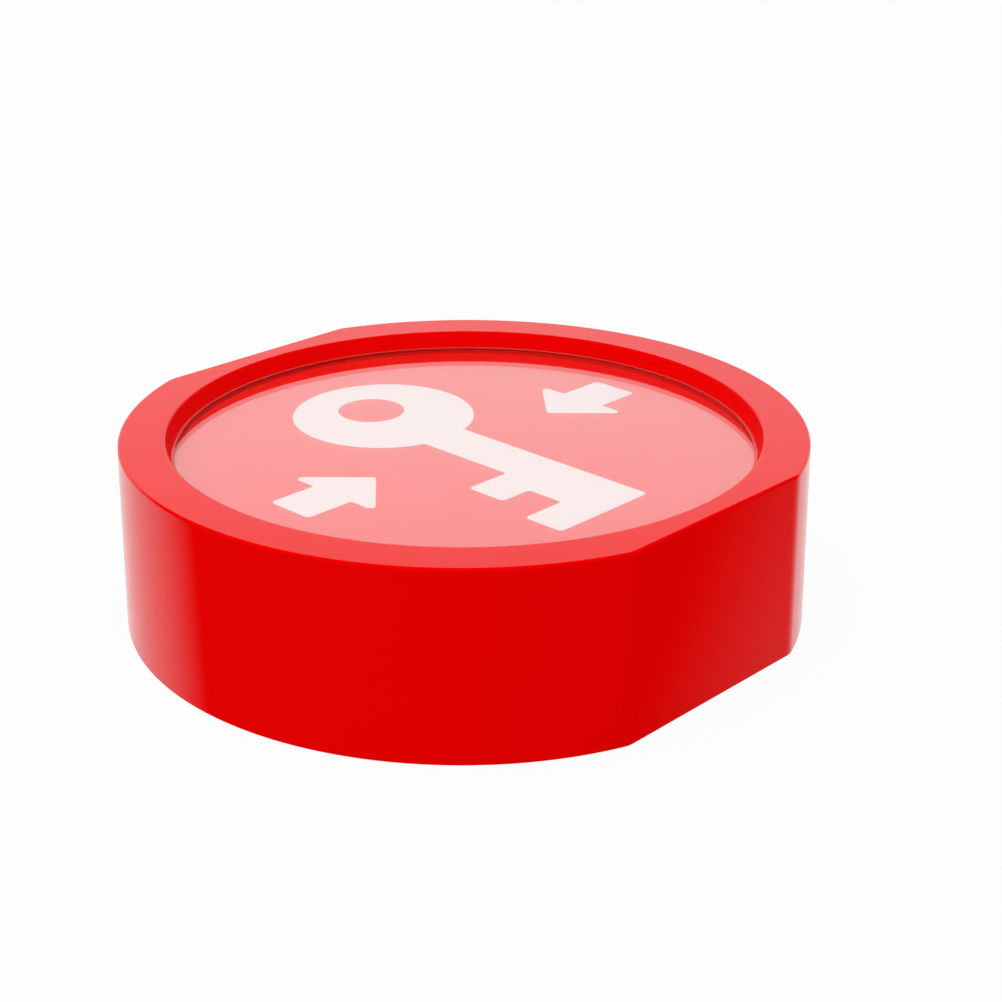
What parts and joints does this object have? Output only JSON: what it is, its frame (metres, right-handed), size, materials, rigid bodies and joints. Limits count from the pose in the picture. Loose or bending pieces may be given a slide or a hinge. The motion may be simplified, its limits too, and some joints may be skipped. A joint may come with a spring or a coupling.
{
  "type": "break glass key box",
  "caption": "Round red emergency key box with two flat sides, a break-glass front over a printed card, and a locked cover that lifts off a wall plate with a key hook.",
  "frame": {"origin": "centre of the back, on the wall's surface", "axes": "+Z out of the wall through the front, +Y up on the wall along the two flats, +X to the right across the flats"},
  "size_m": [0.103, 0.11, 0.03],
  "materials": {
    "cover_abs": "moulded red ABS, semi-gloss",
    "inner_abs": "moulded red ABS, fine matt",
    "clear_seal": "thin translucent silicone",
    "pane_glass": "clear polished sheet",
    "printed_card": "red card with a white print",
    "plated_steel": "bright zinc plate",
    "insert_brass": "knurled, as machined",
    "lock_steel": "blackened steel"
  },
  "bodies": {
    "base": {"wall_plate": "inner_abs", "key_hook": "plated_steel", "hook_screw_1": "plated_steel", "hook_screw_2": "plated_steel"},
    "cover": {"front_cover": "cover_abs", "pane_seal": "clear_seal", "glass_pane": "pane_glass", "label_card": "printed_card", "retainer_ring": "inner_abs", "retainer_screw_1": "plated_steel", "retainer_screw_2": "plated_steel", "retainer_screw_3": "plated_steel", "retainer_screw_4": "plated_steel", "lock_insert": "insert_brass"},
    "lock": {"lock_screw": "lock_steel"}
  },
  "joints": [
    {"name": "cover_lift", "type": "slide", "parent": "base", "child": "cover", "axis": [0, 0, 1], "range_m": [0, 0.05]},
    {"name": "lock_screw_travel", "type": "slide", "parent": "cover", "child": "lock", "axis": [-1, 0, 0], "range_m": [0, 0.0012]}
  ]
}
